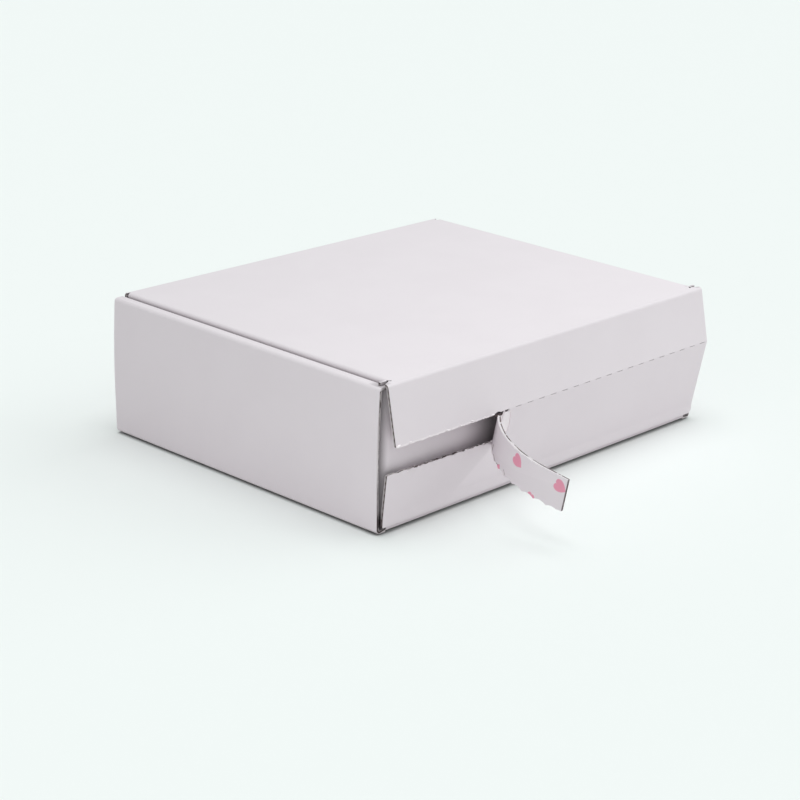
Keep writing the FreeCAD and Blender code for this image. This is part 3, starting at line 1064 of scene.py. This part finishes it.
@dataclass
class FoldedBoard:
    """The whole folded blank: its liners, printed inside and raw edges."""

    sizes: BoardSizes
    materials: list[Material]
    name: str = "folded_board"
    piece: Piece = field(init=False)
    thickness_slack: float = 0.2 * MM
    liner_least: float = 0.5
    side_facing: float = 0.7
    flat_facing: float = 0.6
    strip_front: float = 0.3 * MM
    strip_inside: float = 3.0 * MM
    strip_far: float = 50.0 * MM
    strip_tip: float = 62.0 * MM
    torn_front: float = 2.5 * MM

    def build(self, node: Piece, cutters: list[Piece]) -> Piece:
        """Copy the solid's mesh, merge it, tear its notches, sort its faces and dress it.

        Args:
            node: the solid that the piece stands for.
            cutters: small solids that tear notches in the board, removed afterwards.

        Returns:
            The finished piece.
        """
        mesh = node.data.copy()
        mesh.name = self.name
        self.piece = bpy.data.objects.new(self.name, mesh)
        bpy.context.scene.collection.objects.link(self.piece)
        edit_mesh(self.piece)
        bpy.ops.mesh.remove_doubles(threshold=SAME_PLACE)
        bpy.ops.mesh.dissolve_limited(angle_limit=FLAT_ANGLE)
        leave_edit()
        mesh.materials.clear()
        for material in self.materials:
            mesh.materials.append(material)
        for cutter in cutters:
            activate(self.piece)
            cut = self.piece.modifiers.new("Notch", "BOOLEAN")
            cut.operation = "DIFFERENCE"
            cut.solver = "EXACT"
            cut.object = cutter
            bpy.ops.object.modifier_apply(modifier=cut.name)
            bpy.data.objects.remove(cutter)
        self.sort_faces()
        activate(self.piece)
        bpy.ops.object.shade_smooth_by_angle(angle=SMOOTH_ANGLE)
        bpy.ops.object.modifier_add(type="WEIGHTED_NORMAL")
        normals = self.piece.modifiers[-1]
        normals.mode = "FACE_AREA"
        normals.weight = 100
        normals.keep_sharp = True
        bpy.ops.object.modifier_apply(modifier=normals.name)
        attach(self.piece, "root")
        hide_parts("box_blank")
        return self.piece

    def patches(self, shape: bmesh.types.BMesh) -> list[list[Face]]:
        """Groups of faces that join each other without a sharp turn, largest first."""
        groups, seen = [], set()
        for seed in shape.faces:
            if seed.index in seen:
                continue
            seen.add(seed.index)
            group, waiting = [seed], [seed]
            while waiting:
                face = waiting.pop()
                for other in (near for edge in face.edges for near in edge.link_faces):
                    if other.index not in seen and other.normal.angle(face.normal, 0.0) < PATCH_ANGLE:
                        seen.add(other.index)
                        group.append(other)
                        waiting.append(other)
            groups.append(group)
        return sorted(groups, key=lambda faces: -sum(face.calc_area() for face in faces))

    def sides(self, shape: bmesh.types.BMesh) -> dict[int, Side]:
        """Tell the liners from the cut edges.

        A liner has the board's thickness of solid behind most of its area, and the other liner behind that.

        Args:
            shape: the folded board.

        Returns:
            Face index to side of the board.
        """
        tree = BVHTree.FromBMesh(shape)
        found: dict[int, Side] = {}
        for group in self.patches(shape):
            behind: dict[Side | None, float] = {}
            total = sum(face.calc_area() for face in group)
            for face in group:
                middle = face.calc_center_median()
                hit = tree.ray_cast(middle - face.normal * 1e-6, -face.normal, 0.01)
                if hit[0] is not None and abs(hit[3] - self.sizes.thickness) < self.thickness_slack:
                    other = found.get(hit[2])
                    behind[other] = behind.get(other, 0.0) + face.calc_area()
            if sum(behind.values()) < self.liner_least * total:
                side = Side.CUT_EDGE
            elif behind.get(Side.OUTER_LINER, 0.0) > behind.get(Side.INNER_LINER, 0.0):
                side = Side.INNER_LINER
            else:
                side = Side.OUTER_LINER
            for face in group:
                found[face.index] = side
        return found

    def sort_faces(self) -> None:
        """Give each face its material, and the attributes that the finishes read."""
        mesh = self.piece.data
        shape = bmesh.new()
        shape.from_mesh(mesh)
        shape.faces.ensure_lookup_table()
        shape.normal_update()
        side_of = self.sides(shape)
        across, depth, along, ends, torn, strip = (
            shape.loops.layers.float.new(name)
            for name in ("across", "depth", "along", "flute_ends", "torn", "strip"))
        flat = shape.loops.layers.uv.new("Print")
        path = StripPath(self.sizes)
        areas = {side: 0.0 for side in Side}
        for face in shape.faces:
            middle = face.calc_center_median()
            side = side_of[face.index]
            face.material_index = side.value
            areas[side] += face.calc_area()
            before_crease = self.sizes.crease_y - middle.y
            on_strip = before_crease > self.strip_front or (
                side is Side.INNER_LINER and middle.y < self.sizes.front_y - self.strip_inside)
            axis = self.edge_axis(face, side_of) if side is Side.CUT_EDGE else 2
            open_end = abs(face.normal.x) > self.side_facing or before_crease > self.strip_far
            is_torn = self.is_torn(face, side) and not open_end
            ripped = on_strip and (side is not Side.CUT_EDGE or before_crease < self.strip_tip)
            for loop in face.loops:
                point = loop.vert.co
                loop[torn] = 1.0 if is_torn else 0.0
                loop[strip] = 1.0 if ripped else 0.0
                if on_strip:
                    loop[flat].uv = path.flat(point)
                    loop[across] = loop[flat].uv.y
                else:
                    loop[flat].uv = (point.x, point.y if abs(face.normal.z) > self.flat_facing else point.z)
                    loop[across] = point.z if abs(face.normal.y) > self.flat_facing else point.y
                loop[along] = point[axis]
                loop[ends] = 1.0 if open_end else 0.0
                loop[depth] = self.depth_at(loop.vert, side_of)
        shape.to_mesh(mesh)
        shape.free()
        for side, area in areas.items():
            log.info("%s: %.4f m2", side.name.lower(), area)

    def is_torn(self, face: Face, side: Side) -> bool:
        """Whether a cut edge lies on a torn line: of the strip, the flap or the lower panel."""
        middle = face.calc_center_median()
        in_front = middle.y < self.sizes.front_y - self.torn_front
        between = self.sizes.foot_bend_z < middle.z < self.sizes.crease_z + 0.5 * MM
        on_line = abs(face.normal.x) < self.side_facing and between
        return side is Side.CUT_EDGE and in_front and on_line

    @staticmethod
    def depth_at(vert: bmesh.types.BMVert, side_of: dict[int, Side]) -> float:
        """How deep a cut edge's corner is in the board: 0 at the outer liner and 1 at the inner one."""
        near = {side_of[face.index] for face in vert.link_faces}
        if Side.OUTER_LINER in near:
            return 0.0
        return 1.0 if Side.INNER_LINER in near else 0.5

    @staticmethod
    def edge_axis(face: Face, side_of: dict[int, Side]) -> int:
        """Axis that a cut edge runs along: that of its longest side shared with a liner."""
        best, longest = 2, 0.0
        for edge in face.edges:
            length = edge.calc_length()
            shared = any(side_of[other.index] is not Side.CUT_EDGE for other in edge.link_faces)
            if shared and length > longest:
                span = edge.verts[0].co - edge.verts[1].co
                best = max(range(3), key=lambda k: abs(span[k]))
                longest = length
        return best


@dataclass(frozen=True)
class Lamp:
    """A distant lamp: the direction towards it, its strength and its width in the sky."""

    name: str
    towards: Place
    energy: float
    spread: float


@dataclass
class Studio:
    """Pale floor, soft light and the camera at the photograph's angle."""

    floor_size: float = 6.0
    floor_drop: float = 0.7 * MM
    camera_place: Place = (-0.820546, -0.739300, 0.401060)
    camera_right: Place = (0.681992, -0.730466, 0.036140)
    camera_up: Place = (0.219102, 0.251208, 0.942809)
    camera_back: Place = (-0.697769, -0.635069, 0.331369)
    focal_pixels: float = 2196.2
    sensor: float = 36.0
    tint: Colour = (0.937, 1.0, 0.982)
    sky: float = 0.454
    lamps: tuple[Lamp, ...] = (
        Lamp("Overhead light", (0.0, 0.0, 1.0), 1.28, math.radians(50)),
        Lamp("Key light", (0.75, -0.36, 0.6), 0.88, math.radians(60)),
        Lamp("Fill light", (-0.75, -0.3, 0.6), 0.39, math.radians(60)),
    )

    def build_camera(self) -> Piece:
        """Place the camera and make it the scene's."""
        data = bpy.data.cameras.new("Photo camera")
        data.sensor_width = self.sensor
        data.sensor_fit = "HORIZONTAL"
        data.lens = self.focal_pixels / PHOTO_SIZE * self.sensor
        data.clip_start, data.clip_end = 0.01, 60.0
        camera = bpy.data.objects.new("Photo camera", data)
        bpy.context.scene.collection.objects.link(camera)
        turn = Matrix((self.camera_right, self.camera_up, self.camera_back)).transposed().to_4x4()
        camera.matrix_world = Matrix.Translation(self.camera_place) @ turn
        bpy.context.scene.camera = camera
        return camera

    def build_floor(self, effects: EffectGroups) -> Piece:
        """Lay the pale floor under the box, a hair lower, as a fold's rounded edge stands."""
        floor = added(bpy.ops.mesh.primitive_plane_add, size=self.floor_size,
                      location=(0.0, 0.0, -self.floor_drop))
        floor.name = "floor"
        floor.data.materials.append(FloorFinish().build(effects))
        return floor

    def build_light(self) -> None:
        """Even light from all round, a wide light overhead and two softer ones from the sides."""
        world = bpy.data.worlds.new("Studio")
        bpy.context.scene.world = world
        world.use_nodes = True
        shade = world.node_tree.nodes["Background"]
        shade.inputs["Color"].default_value = (*self.tint, 1.0)
        shade.inputs["Strength"].default_value = self.sky
        for lamp in self.lamps:
            data = bpy.data.lights.new(lamp.name, "SUN")
            data.energy = lamp.energy
            data.angle = lamp.spread
            data.color = self.tint
            light = bpy.data.objects.new(lamp.name, data)
            bpy.context.scene.collection.objects.link(light)
            light.rotation_euler = Vector(lamp.towards).to_track_quat("Z", "Y").to_euler()
        settings = bpy.context.scene.view_settings
        settings.view_transform = "Standard"
        settings.look = "None"


def main() -> None:
    """Build the box, its finishes and the studio."""
    logging.basicConfig(level=logging.INFO, format="%(name)s: %(message)s")
    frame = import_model()
    sizes = BoardSizes()
    effects = EffectGroups()
    studio = Studio()
    studio.build_camera()
    torn_papers = (
        TornPaperFinish(),
        # near-black fluting: painted shade of the open flutes under the tear
        TornPaperFinish(name="Shaded torn fluting", colour=(0.105, 0.075, 0.078), hollow=(0.030, 0.020, 0.022)),
        TornPaperFinish(name="Torn liner", colour=(0.87, 0.785, 0.82), hollow=(0.70, 0.62, 0.65)))
    torn = TornPaper(sizes, *(finish.build(effects) for finish in torn_papers))
    finishes = (LinerFinish(), PrintedLinerFinish(), CutEdgeFinish())
    board = FoldedBoard(sizes, [finish.build(effects) for finish in finishes])
    board.build(frame["nodes"]["box_blank"], torn.notch_cutters())
    log.info("folded board: %d faces", len(board.piece.data.polygons))
    torn.build()
    log.info("torn paper: %d pieces", len(torn.pieces))
    glue = frame["nodes"]["seal_strip"]
    glue.data.materials.clear()
    glue.data.materials.append(GlueFinish().build(effects))
    studio.build_floor(effects)
    studio.build_light()


if __name__ == "__main__":
    main()
